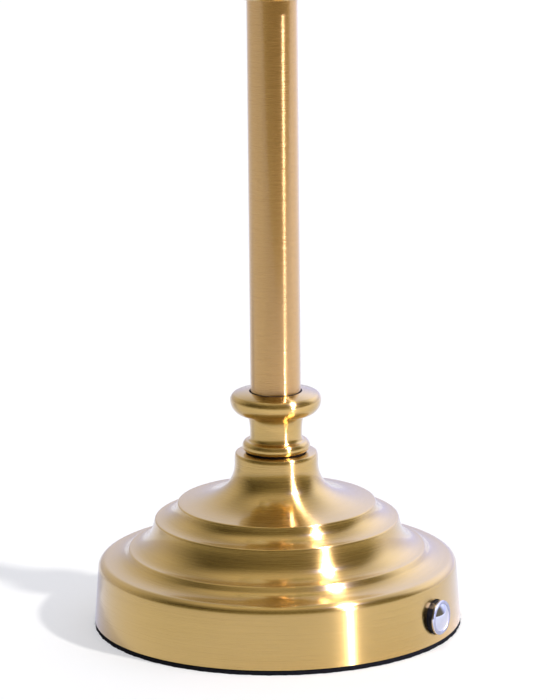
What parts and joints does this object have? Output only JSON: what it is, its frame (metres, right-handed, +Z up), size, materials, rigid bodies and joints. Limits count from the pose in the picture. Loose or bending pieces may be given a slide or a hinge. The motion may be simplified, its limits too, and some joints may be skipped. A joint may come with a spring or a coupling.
{
  "type": "cordless table lamp",
  "caption": "Cordless table lamp: stepped spun brass base with a side push button, a tube stem between turned spools, an opal light and a lift-off tapered fabric shade.",
  "frame": {"origin": "middle of the foot pad on the table", "axes": "+Z up along the stem, the push button towards -Y, the charging socket towards +Y"},
  "size_m": [0.1332, 0.1332, 0.3592],
  "materials": {
    "brass": "satin, brushed round the axis",
    "chrome": "polished",
    "steel": "zinc plated",
    "nickel": "nickel plated",
    "cast_iron": "as cast",
    "aluminium": "turned",
    "felt": "black felt",
    "black_plastic": "fine matt",
    "cell_wrap": "shrink sleeve",
    "circuit_board": "solder resist",
    "opal": "milky, lets light through",
    "white_plastic": "fine matt",
    "light_chip": "yellow gel",
    "linen": "plain weave on a stiff liner",
    "white_wire": "white powder coat",
    "pale_jacket": "smooth",
    "black_jacket": "smooth",
    "red_jacket": "smooth"
  },
  "bodies": {
    "lamp": {"base_shell": "brass", "spool_lower": "brass", "spool_upper": "brass", "stem_tube": "brass", "lamp_cup": "brass", "base_plate": "steel", "plate_pillar_left": "steel", "plate_pillar_right": "steel", "plate_screw_left": "steel", "plate_screw_right": "steel", "tie_rod": "steel", "rod_washer_lower": "steel", "rod_nut_lower": "steel", "rod_washer_upper": "steel", "rod_nut_upper": "steel", "switch_bracket": "steel", "bracket_screw_left": "steel", "bracket_screw_right": "steel", "board_screw_left": "steel", "board_screw_right": "steel", "usb_socket": "steel", "switch_terminal_left": "nickel", "switch_terminal_right": "nickel", "cell_link_negative": "nickel", "cell_link_positive": "nickel", "board_post_left": "nickel", "board_post_right": "nickel", "ballast": "cast_iron", "charge_coil": "cast_iron", "heat_sink": "aluminium", "foot_pad": "felt", "switch_body": "black_plastic", "cradle_front": "black_plastic", "cradle_rear": "black_plastic", "usb_tongue": "black_plastic", "driver_chip": "black_plastic", "cell_front": "cell_wrap", "cell_rear": "cell_wrap", "charge_board": "circuit_board", "light_board": "circuit_board", "diffuser": "opal", "lead_header": "white_plastic", "light_chip": "light_chip", "lamp_lead": "pale_jacket", "switch_lead": "black_jacket", "battery_lead_negative": "black_jacket", "battery_lead_positive": "red_jacket"},
    "button": {"button_cap": "chrome", "button_plunger": "black_plastic"},
    "shade": {"shade_hub": "white_wire", "shade_cover": "linen", "hem_tape_lower": "linen", "hem_tape_upper": "linen", "shade_ring_lower": "white_wire", "shade_ring_upper": "white_wire", "shade_arm_1": "white_wire", "shade_arm_2": "white_wire", "shade_arm_3": "white_wire"}
  },
  "joints": [
    {"name": "button_press", "type": "slide", "parent": "lamp", "child": "button", "axis": [0, 1, 0], "range_m": [0, 0.002], "stiffness_N_per_m": 800, "springref_m": -0.001},
    {"name": "shade_lift", "type": "slide", "parent": "lamp", "child": "shade", "axis": [0, 0, 1], "range_m": [0, 0.075]}
  ]
}
